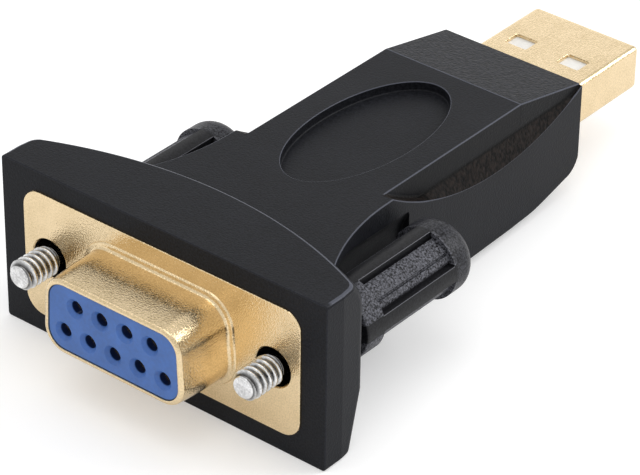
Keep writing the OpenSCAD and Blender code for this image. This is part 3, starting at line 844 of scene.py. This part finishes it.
def body_section(s, y, inset=0.0):
    """Section of the body at y, with a grip notch at each side where there is one"""
    top = s.body_top / MM
    low = s.body_bottom / MM
    tail = s.body_length / MM
    edge = s.body_edge / MM
    if y < FLARE_END:
        half = WAIST_HALF + FLARE_RADIUS - math.sqrt(FLARE_RADIUS ** 2 - (FLARE_END - y) ** 2)
    else:
        half = WAIST_HALF - (WAIST_HALF - TAIL_HALF) * (y - FLARE_END) / (tail - FLARE_END)
    if y > SLOPE_START:
        top -= TOP_FALL * (y - SLOPE_START) / (tail - SLOPE_START)
    if y > RISE_START - 3:
        rise = math.atan2(LOW_RISE, tail - RISE_START)
        centre_y = tail - TAIL_ROUND
        centre_z = low + LOW_RISE + TAIL_ROUND * (1 - math.sin(rise)) / math.cos(rise)
        if y > centre_y + TAIL_ROUND * math.sin(rise):
            low = centre_z - math.sqrt(max(TAIL_ROUND ** 2 - (y - centre_y) ** 2, 0))
        else:
            past = y - RISE_START
            low += LOW_RISE / (tail - RISE_START) * (past + math.hypot(past, RISE_SOFTNESS)) / 2
    reach = GRIP_RADIUS ** 2 - (y - GRIP_MIDDLE) ** 2
    arc = GRIP_LOW + GRIP_RADIUS - math.sqrt(reach) if reach > 0 else top
    arc = min(arc, top)
    crease = min(max(GRIP_CREASE, arc), top)
    notched = top - arc > 0.01
    half, wall, top, low = half - inset, GRIP_WALL - inset, top - inset, low + inset
    arc, crease = arc - (inset if not notched else inset * 0.8), crease - inset * 0.7
    arc, crease = min(arc, top), min(crease, top)
    right = [(half, low, 0.3), (half, arc, edge), (wall, crease, 0.12), (wall, top, edge)]
    left = [(-a, b, r) for a, b, r in reversed(right)]
    return along_y(rounded_corners(right + left), y)


def body_solid(s):
    tail = s.body_length / MM
    stations = [4.0 + 1.0 * i for i in range(16)] + [19.6, 20.0, 20.2]
    stations += [20.3 + 0.15 * i for i in range(38)]
    stations += [26.2 + 0.5 * i for i in range(28)]
    stations += [40.22, 40.3, 40.38, 41, 41.7, 42.3, 42.5, 42.7, 43.5, 44.5, 45.5, 46.3, 47, 47.5, 47.87]
    stations += [48.05, 48.3, 48.55, 48.8, 49.0, 49.2]
    loops = [body_section(s, y) for y in sorted(set(stations))]
    round_end = 0.18
    for k in range(4):
        angle = math.pi / 2 * k / 3
        loops.append(body_section(s, tail - round_end + round_end * math.sin(angle),
                                  round_end * (1 - math.cos(angle))))
    return solid_through("housing_body_block", loops)


def oval_tool(s):
    """Cutter for the oval recess, with a rounded floor corner and a rounded rim"""
    top, depth = s.body_top / MM, s.oval_depth / MM
    floor_round, rim = 0.15, 0.07
    steps = [k / 4 for k in range(5)]
    rings = [(-floor_round + floor_round * math.sin(t * math.pi / 2),
              top - depth + floor_round * (1 - math.cos(t * math.pi / 2))) for t in steps]
    rings += [(rim * (1 - math.cos(t * math.pi / 2)), top - rim + rim * math.sin(t * math.pi / 2)) for t in steps]
    rings.append((rim + 0.02, top + 0.6))
    loops = []
    for grow, level in rings:
        loops.append([((5.05 + grow) * math.cos(math.tau * i / 96), 27.8 + (10.3 + grow) * math.sin(math.tau * i / 96),
                       level) for i in range(96)])
    return solid_through("oval_tool", loops)


class ADAPTER_OT_housing(bpy.types.Operator):
    """Makes the moulded housing: crowned flange, flared body, grips, oval recess and knob pockets"""

    bl_idname = "adapter.housing"
    bl_label = "Make the Housing"

    def execute(self, context):
        s = context.scene.adapter_housing
        grain, _ = grain_and_lines()
        piece = flange_solid(s)
        cut(piece, body_solid(s), "UNION")
        cut(piece, oval_tool(s))
        for side in (-1, 1):
            axis = side * SCREW_X
            cut(piece, turned("pocket_tool", [(7.0, 4.3), (7.2, 4.5), (22.65, 4.5), (22.8, 4.35)], x=axis, steps=96))
            cut(piece, turned("bore_tool", [(-0.5, 1.85), (3.8, 1.85)], x=axis, steps=48))
            cut(piece, turned("shank_tool", [(3.5, 1.21), (7.5, 1.21)], x=axis, steps=40))
        finish_piece(piece, housing_finish(tuple(s.colour), grain), HOUSING_BODY, ["housing"])
        return {"FINISHED"}


# D connector ----------------------------------------------------------------


def d_outline(width, height, inset, radius=2.4, steps=8):
    """The D outline, wide side below, drawn in all round by inset"""
    lean = math.tan(math.radians(10))
    z = height / 2
    low, high = width / 2, width / 2 - (height - 2 * radius) * lean
    slant = inset / math.cos(math.radians(10))
    corners = [
        (-(low - slant) + (inset * lean), -z + inset, radius - inset),
        ((low - slant) - (inset * lean), -z + inset, radius - inset),
        ((high - slant) + (inset * lean), z - inset, radius - inset),
        (-(high - slant) - (inset * lean), z - inset, radius - inset),
    ]
    return rounded_corners([(a, b, max(r, 0.2)) for a, b, r in corners], steps)


def plate_solid(name, width, height, corner, front, back, edge):
    loops = []
    for y, inset in ((front, edge), (front + edge * 0.3, edge * 0.3), (front + edge, 0),
                     (back - edge, 0), (back, edge)):
        points = [
            (-width / 2 + inset, -height / 2 + inset, corner), (width / 2 - inset, -height / 2 + inset, corner),
            (width / 2 - inset, height / 2 - inset, corner), (-width / 2 + inset, height / 2 - inset, corner),
        ]
        loops.append(along_y(rounded_corners(points, 8), y))
    return solid_through(name, loops)


def nose_solid(s):
    """Drawn nose: a small root fillet, sides that draw in and a rolled rim, open in front"""
    width, height = s.nose_width / MM, s.nose_height / MM
    rings = [(0.35, -0.62), (0.1, -0.62), (-0.06, -0.6), (-0.16, -0.53), (-0.2, -0.42), (-0.21, -0.28)]
    root = 0.28
    rings += [(-0.21 - root * (1 - math.cos(math.pi / 2 * k / 5)), -root * (1 - math.sin(math.pi / 2 * k / 5)))
              for k in range(1, 6)]
    rings += [(-2.6, 0.02), (-3.4, 0.05), (-4.6, 0.13), (NOSE_TIP + 0.55, 0.2)]
    for k in range(1, 7):
        angle = math.pi / 2 * k / 6
        rings.append((NOSE_TIP + 0.4 * (1 - math.sin(angle)), 0.2 + 0.4 * (1 - math.cos(angle))))
    rings += [(NOSE_TIP + 0.04, 0.68), (NOSE_TIP + 0.14, 0.71), (NOSE_TIP + 0.6, 0.71), (0.3, 0.71)]
    return solid_through("dsub_front_shell", [
        along_y(d_outline(width, height, inset), y) for y, inset in rings
    ])


def darken_bores(material):
    """Deepens the colour down the contact bores, where little light gets in"""
    nodes, links = material.node_tree.nodes, material.node_tree.links
    shader = nodes["Principled BSDF"]
    tone = shader.inputs["Base Color"].links[0].from_socket
    place = nodes.new("ShaderNodeSeparateXYZ")
    links.new(nodes.new("ShaderNodeTexCoord").outputs["Object"], place.inputs[0])
    depth = nodes.new("ShaderNodeMapRange")
    links.new(place.outputs["Y"], depth.inputs[0])
    face = INSULATOR_FACE * MM
    for index, value in ((1, face + 0.0003), (2, face + 0.00045), (3, 0.0), (4, 0.9)):
        depth.inputs[index].default_value = value
    mix = nodes.new("ShaderNodeMix")
    mix.data_type = "RGBA"
    links.new(depth.outputs[0], mix.inputs["Factor"])
    links.new(tone, mix.inputs[6])
    mix.inputs[7].default_value = (0.0004, 0.004, 0.035, 1)
    links.new(mix.outputs[2], shader.inputs["Base Color"])


class ADAPTER_OT_connector(bpy.types.Operator):
    """Makes the D connector's plate, nose and insulator, and dresses its inner pieces"""

    bl_idname = "adapter.connector"
    bl_label = "Make the D Connector"

    def execute(self, context):
        s = context.scene.adapter_connector
        grain, lines = grain_and_lines()
        gold = gold_material(context)
        shell = plate_solid("dsub_front_shell", s.plate_width / MM, s.plate_height / MM, 1.9, 0.0, 0.5, 0.1)
        cut(shell, nose_solid(s), "UNION")
        hollow = solid_through("hollow_tool", [
            along_y(d_outline(s.nose_width / MM, s.nose_height / MM, 0.71), y) for y in (NOSE_TIP + 0.5, 0.9)
        ])
        cut(shell, hollow)
        for side in (-1, 1):
            cut(shell, turned("hole_tool", [(-0.3, 2.1), (0.0, 1.95), (0.1, 1.86), (0.2, 1.85), (0.8, 1.85)],
                              x=side * SCREW_X, steps=64))
        finish_piece(shell, gold, HOUSING_BODY, ["dsub_front_shell"], 28)

        width, height = s.nose_width / MM, s.nose_height / MM
        inset = 0.72
        rings = [(INSULATOR_FACE, inset + 0.12), (INSULATOR_FACE + 0.03, inset + 0.04),
                 (INSULATOR_FACE + 0.12, inset), (0.3, inset), (0.31, -0.5), (4.6, -0.5)]
        block = solid_through("dsub_insulator", [along_y(d_outline(width, height, i), y) for y, i in rings])
        blue = plain_finish("blue_insulator", [c * 0.86 for c in s.blue], [min(c * 1.14, 1) for c in s.blue], grain,
                            size=0.00025, roughness=(0.38, 0.5), depth=0.000012)
        darken_bores(blue)
        set_inputs(block, entry_tree(), {
            "Contact Pitch": s.contact_pitch / MM, "Row Distance": s.row_distance / MM,
            "Face Level": INSULATOR_FACE, "Entry Radius": s.entry_radius / MM, "Sink Radius": 0.94,
            "Sink Depth": 0.32, "Entry Depth": 3.2, "Material": blue,
        })
        make_real(block)
        finish_piece(block, blue, HOUSING_BODY, ["dsub_insulator"], 28)
        dress("dsub_rear_shell", gold)
        brass = plain_finish("contact_gold", (0.62, 0.43, 0.16), (0.8, 0.58, 0.25), grain, size=0.0001,
                             roughness=(0.2, 0.34), depth=0.000004, metallic=1.0)
        for index in range(1, 10):
            dress(f"socket_contact_{index}", brass)
        for index in range(1, 5):
            dress(f"usb_contact_{index}", brass)
        return {"FINISHED"}


# Plug -----------------------------------------------------------------------


def box_outline(width, height, corner, inset, level):
    x, z, r = width / 2 - inset, height / 2 - inset, max(corner - inset, 0.12)
    return [(a, b + level) for a, b in rounded_corners([(-x, -z, r), (x, -z, r), (x, z, r), (-x, z, r)], 6)]


class ADAPTER_OT_plug(bpy.types.Operator):
    """Makes the plug's rolled shell with its latch windows, and dresses the tongue"""

    bl_idname = "adapter.plug"
    bl_label = "Make the Plug"

    def execute(self, context):
        s = context.scene.adapter_plug
        grain, _ = grain_and_lines()
        width, height, wall, corner = s.width / MM, s.height / MM, s.wall / MM, s.corner / MM
        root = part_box("usb_shell")[0].y / MM
        rings = [(root, 0.0), (PLUG_TIP - 0.45, 0.0), (PLUG_TIP - 0.25, 0.02), (PLUG_TIP - 0.1, 0.06),
                 (PLUG_TIP - 0.03, 0.11), (PLUG_TIP, 0.17), (PLUG_TIP - 0.01, 0.24), (PLUG_TIP - 0.06, 0.29),
                 (PLUG_TIP - 0.3, wall), (root + 0.2, wall)]
        shell = solid_through("usb_shell", [
            along_y(box_outline(width, height, corner, inset, PLUG_LEVEL), y) for y, inset in rings[:6]
        ])
        inner = solid_through("mouth_tool", [
            along_y(box_outline(width, height, corner, inset, PLUG_LEVEL), y)
            for y, inset in ((root - 1, wall), (PLUG_TIP - 0.3, wall), (PLUG_TIP - 0.06, wall - 0.03),
                             (PLUG_TIP + 0.2, wall - 0.25))
        ])
        cut(shell, inner)
        half_w, half_l = s.window_width / MM / 2, s.window_length / MM / 2
        for side in (-1, 1):
            centre = Vector((side * 3.0, PLUG_TIP - 6.4, PLUG_LEVEL))
            top = height / 2
            loops = []
            for grow, level in ((0.1, top + 0.3), (0.08, top + 0.001), (0.03, top - 0.06), (0.0, top - 0.15),
                                (0.0, -top + 0.15), (0.03, -top + 0.06), (0.08, -top - 0.001), (0.1, -top - 0.3)):
                x, y = half_w + grow, half_l + grow
                outline = rounded_corners([(-x, -y, 0.2), (x, -y, 0.2), (x, y, 0.2), (-x, y, 0.2)], 4)
                loops.append([(centre.x + a, centre.y + b, centre.z + level) for a, b in outline])
            cut(shell, solid_through("window_tool", loops))
        seam = solid_through("seam_tool", [
            [(x, y, PLUG_LEVEL - height / 2 + z) for x, z in ((-0.04, -0.1), (0.04, -0.1), (0.04, 0.12), (-0.04, 0.12))]
            for y in (root - 1, PLUG_TIP + 1)
        ])
        cut(shell, seam)
        finish_piece(shell, gold_material(context), HOUSING_BODY, ["usb_shell"], 28)
        white = plain_finish("white_plastic", (0.74, 0.72, 0.68), (0.86, 0.845, 0.81), grain, size=0.0003,
                             roughness=(0.35, 0.5), depth=0.000008)
        dress("usb_insulator", white)
        return {"FINISHED"}


# Thumbscrews ----------------------------------------------------------------


SHANK, THREAD_END, THREAD_ROWS = 1.15, 0.05, 14
RIB_TURN = math.radians(5)


def panel_cutter(radius, rib, depth, front, back):
    """Cutter for the grip panel between a rib at +X and one at +Z: a barrel with a channel at each
    rib, one groove near the first rib, and walls that open out at the ribs' edges"""
    floor, half = radius - depth, rib / 2
    channel = floor - 0.3
    first = math.degrees(math.asin(half / channel))
    steps = [(first, channel), (first + 6, channel), (first + 7, floor), (first + 16, floor),
             (first + 17.5, floor - 0.26), (first + 20, floor - 0.26), (first + 21.5, floor)]
    steps += [(a, floor) for a in (40, 45, 50, 55, 60, 65, 70)]
    steps += [(83 - first, floor), (84 - first, channel), (90 - first, channel)]
    arc = []
    for (a0, r0), (a1, r1) in zip(steps, steps[1:]):
        for k in range(3):
            angle, reach = math.radians(a0 + (a1 - a0) * k / 3), r0 + (r1 - r0) * k / 3
            arc.append((reach * math.cos(angle), reach * math.sin(angle)))
    last = math.radians(90 - first)
    arc.append((channel * math.cos(last), channel * math.sin(last)))
    edge, outer = math.sqrt(radius * radius - half * half), radius + 0.8
    outline = arc + [(half, edge - 0.035), (half - 0.06, edge + 0.035), (half - 0.06, outer), (outer, outer),
                     (outer, half - 0.06), (edge + 0.035, half - 0.06), (edge - 0.035, half)]
    return solid_through("panel_cutter", [along_y(outline, front), along_y(outline, back)])


def knob_blank(name, axis, low, high, radius):
    """Turned knob: a collar, a short neck, the grip and a rounded end"""
    collar, collar_end = 2.7, low + 1.1
    profile = [(low, collar - 0.15), (low + 0.15, collar), (collar_end - 0.05, collar), (collar_end, collar + 0.06)]
    profile += [(collar_end, radius - 0.25), (collar_end + 0.08, radius - 0.08), (collar_end + 0.25, radius)]
    for k in range(11):
        angle = math.pi / 2 * k / 10
        profile.append((high - 1.8 + 1.8 * math.sin(angle), radius - 1.8 + 1.8 * math.cos(angle)))
    profile.append((high, 0.8))
    return turned(name, profile, x=axis, steps=96)


class ADAPTER_OT_thumbscrews(bpy.types.Operator):
    """Makes both thumbscrews: a threaded screw and a knob with recessed panels"""

    bl_idname = "adapter.thumbscrews"
    bl_label = "Make the Thumbscrews"

    def execute(self, context):
        s = context.scene.adapter_thumbscrews
        grain, _ = grain_and_lines()
        steel = steel_finish(tuple(s.steel), grain)
        thread, panels = thread_tree(), panel_tree()
        core, major, pitch = s.core_radius / MM, s.thread_radius / MM, s.pitch / MM
        radius, rib = s.knob_radius / MM, s.rib_width / MM
        for side, word in ((-1, "left"), (1, "right")):
            axis = side * SCREW_X
            low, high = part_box(f"{word}_screw")
            tip, end = low.y / MM, high.y / MM
            start, stop = tip + 0.18, THREAD_END
            profile = [(tip, 0.6), (tip, 0.9), (tip + 0.04, 0.98), (start, core)]
            rows = round((stop - start) / pitch * THREAD_ROWS)
            profile += [(start + (stop - start) * k / rows, core) for k in range(1, rows + 1)]
            profile += [(stop + 0.1, SHANK), (end, SHANK)]
            screw = turned(f"{word}_screw", profile, x=axis, steps=72)
            set_inputs(screw, thread, {
                "Thread Radius": major - 0.005, "Core Radius": core, "Pitch": pitch, "Start": start,
                "End": stop, "Fade": 0.3, "Axis X": axis, "Material": steel,
            })
            make_real(screw)
            finish_piece(screw, steel, f"{word}_thumbscrew", [f"{word}_screw"], 50)

            low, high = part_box(f"{word}_knob")
            low_y, high_y = low.y / MM, high.y / MM
            turn = side * RIB_TURN
            plastic = knob_finish(tuple(s.colour), grain, axis * MM, s.rib_width, turn)
            knob = knob_blank(f"{word}_knob", axis, low_y, high_y, radius)
            cutter = panel_cutter(radius, rib, s.panel_depth / MM, low_y + 3.4, low_y + 3.4 + s.panel_length / MM)
            set_inputs(knob, panels, {
                "Cutter": cutter, "Rib Count": 4, "Rib Turn": -turn, "Axis X": axis, "Material": plastic,
            })
            make_real(knob)
            bpy.data.objects.remove(cutter)
            finish_piece(knob, plastic, f"{word}_thumbscrew", [f"{word}_knob"], 30)
        return {"FINISHED"}


# Inner parts ----------------------------------------------------------------


class ADAPTER_OT_inner_parts(bpy.types.Operator):
    """Dresses the circuit board and the parts on it"""

    bl_idname = "adapter.inner_parts"
    bl_label = "Dress the Inner Parts"

    def execute(self, context):
        grain, _ = grain_and_lines()
        board = plain_finish("board_laminate", (0.008, 0.085, 0.03), (0.02, 0.16, 0.06), grain, size=0.0004,
                             roughness=(0.3, 0.42), depth=0.000006)
        chip = plain_finish("chip_epoxy", (0.012, 0.012, 0.013), (0.03, 0.03, 0.031), grain, size=0.00012,
                            roughness=(0.5, 0.65), depth=0.00001)
        ceramic = plain_finish("capacitor_ceramic", (0.3, 0.2, 0.11), (0.46, 0.33, 0.2), grain, size=0.00015,
                               roughness=(0.4, 0.55), depth=0.000008)
        can = plain_finish("crystal_can", (0.5, 0.5, 0.48), (0.7, 0.7, 0.68), grain, size=0.0001,
                           roughness=(0.25, 0.38), depth=0.000005, metallic=1.0)
        dress("circuit_board", board)
        dress("usb_uart_chip", chip)
        dress("line_driver_chip", chip)
        for index in range(1, 5):
            dress(f"pump_capacitor_{index}", ceramic)
        dress("supply_capacitor", ceramic)
        dress("supply_ferrite", chip)
        dress("pull_up_resistor", chip)
        dress("clock_crystal", can)
        return {"FINISHED"}


# Stage ----------------------------------------------------------------------


def add_lamp(name, place, aim, size, power, colour=(1, 1, 1)):
    lamp = bpy.data.lights.new(name, "AREA")
    lamp.shape = "RECTANGLE"
    lamp.size, lamp.size_y = size
    lamp.energy = power
    lamp.color = colour
    made = new_object(name, lamp)
    made.location = place
    made.rotation_mode = "QUATERNION"
    made.rotation_quaternion = (Vector(aim) - Vector(place)).to_track_quat("-Z", "Y")
    return made


def camera_turn(azimuth, elevation, roll):
    """Rotation of a camera that looks along -Z, from its place round the object in degrees"""
    a, e, r = (math.radians(v) for v in (azimuth, elevation, roll))
    right = Vector((math.cos(a), math.sin(a), 0))
    back = Vector((math.sin(a) * math.cos(e), -math.cos(a) * math.cos(e), math.sin(e)))
    up = back.cross(right)
    tilted_right = right * math.cos(r) + up * math.sin(r)
    tilted_up = up * math.cos(r) - right * math.sin(r)
    return Matrix((tilted_right, tilted_up, back)).transposed()


class ADAPTER_OT_stage(bpy.types.Operator):
    """Makes the camera, the white floor, the lamps and the world"""

    bl_idname = "adapter.stage"
    bl_label = "Make the Stage"

    def execute(self, context):
        s = context.scene.adapter_stage
        scene = context.scene
        scene.view_settings.view_transform = "Standard"
        eye = bpy.data.cameras.new("camera")
        eye.lens, eye.sensor_width = s.lens, 36.0
        eye.shift_x, eye.shift_y = 0.0059, 0.0542
        eye.clip_start, eye.clip_end = 0.02, 20.0
        camera = new_object("camera", eye)
        camera.matrix_world = Matrix.Translation((0.15839, -0.17517, 0.16098)) @ camera_turn(38.92, 33.62, 0.77).to_4x4()
        scene.camera = camera

        floor_mesh = bpy.data.meshes.new("floor")
        reach = 3.0
        floor_mesh.from_pydata([(-reach, -reach, FLOOR_LEVEL), (reach, -reach, FLOOR_LEVEL),
                                (reach, reach, FLOOR_LEVEL), (-reach, reach, FLOOR_LEVEL)], [], [(0, 1, 2, 3)])
        floor = new_object("floor", floor_mesh)
        paper = bpy.data.materials.new("white_paper")
        paper.use_nodes = True
        nodes, links = paper.node_tree.nodes, paper.node_tree.links
        shader = nodes["Principled BSDF"]
        shader.inputs["Base Color"].default_value = (*s.floor_colour, 1)
        shader.inputs["Roughness"].default_value = 0.9
        shader.inputs["Specular IOR Level"].default_value = 0.0
        path = nodes.new("ShaderNodeLightPath")
        mirrored = nodes.new("ShaderNodeMath")
        mirrored.operation = "MULTIPLY"
        mirrored.inputs[1].default_value = 0.2
        links.new(path.outputs["Is Glossy Ray"], mirrored.inputs[0])
        glow = nodes.new("ShaderNodeMath")
        glow.operation = "MULTIPLY_ADD"
        glow.inputs[1].default_value = 0.32
        links.new(path.outputs["Is Camera Ray"], glow.inputs[0])
        links.new(mirrored.outputs[0], glow.inputs[2])
        shader.inputs["Emission Color"].default_value = (1, 1, 1, 1)
        links.new(glow.outputs[0], shader.inputs["Emission Strength"])
        floor_mesh.materials.append(paper)

        world = bpy.data.worlds.new("studio")
        scene.world = world
        world.use_nodes = True
        nodes, links = world.node_tree.nodes, world.node_tree.links
        back = nodes["Background"]
        back.inputs["Color"].default_value = (1, 1, 1, 1)
        path = nodes.new("ShaderNodeLightPath")
        shown = back.inputs["Strength"]
        for ray, strength in (("Is Glossy Ray", 0.82), ("Is Camera Ray", 1.0)):
            level = nodes.new("ShaderNodeMix")
            level.data_type = "FLOAT"
            level.inputs[3].default_value = strength
            links.new(path.outputs[ray], level.inputs[0])
            if ray == "Is Glossy Ray":
                level.inputs[2].default_value = s.world_strength
            else:
                links.new(previous.outputs[0], level.inputs[2])
            previous = level
        links.new(previous.outputs[0], shown)

        middle = (0.0, 0.02, 0.0)
        add_lamp("lamp_behind_right", (0.3, 0.38, 0.3), middle, (0.3, 0.3), s.key_strength)
        add_lamp("lamp_behind_left", (-0.32, 0.42, 0.16), middle, (0.3, 0.2), s.key_strength * 0.08)
        add_lamp("lamp_above", (-0.05, -0.05, 0.6), middle, (0.5, 0.5), s.key_strength * 0.6)
        return {"FINISHED"}


# Panel and registration -----------------------------------------------------

OPERATORS = (
    ADAPTER_OT_stage,
    ADAPTER_OT_housing,
    ADAPTER_OT_connector,
    ADAPTER_OT_plug,
    ADAPTER_OT_thumbscrews,
    ADAPTER_OT_inner_parts,
)
SETTINGS = {
    "adapter_housing": HousingSettings,
    "adapter_connector": ConnectorSettings,
    "adapter_plug": PlugSettings,
    "adapter_thumbscrews": ThumbscrewSettings,
    "adapter_stage": StageSettings,
}


class ADAPTER_PT_pieces(bpy.types.Panel):
    """Sizes and colours, and one button for each group of pieces"""

    bl_idname = "ADAPTER_PT_pieces"
    bl_label = "Serial Adapter"
    bl_space_type = "VIEW_3D"
    bl_region_type = "UI"
    bl_category = "Adapter"

    def draw(self, context):
        for name, group in SETTINGS.items():
            box = self.layout.box()
            box.label(text=name.split("_")[1].capitalize())
            for field in group.__annotations__:
                box.prop(getattr(context.scene, name), field)
        for operator in OPERATORS:
            self.layout.operator(operator.bl_idname)


def register():
    for kind in (*SETTINGS.values(), *OPERATORS, ADAPTER_PT_pieces):
        bpy.utils.register_class(kind)
    for name, group in SETTINGS.items():
        setattr(bpy.types.Scene, name, bpy.props.PointerProperty(type=group))


def unregister():
    for name in SETTINGS:
        delattr(bpy.types.Scene, name)
    for kind in reversed((*SETTINGS.values(), *OPERATORS, ADAPTER_PT_pieces)):
        bpy.utils.unregister_class(kind)


def main():
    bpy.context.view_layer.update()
    register()
    bpy.ops.adapter.stage()
    bpy.ops.adapter.housing()
    bpy.ops.adapter.connector()
    bpy.ops.adapter.plug()
    bpy.ops.adapter.thumbscrews()
    bpy.ops.adapter.inner_parts()


if __name__ == "__main__":
    main()
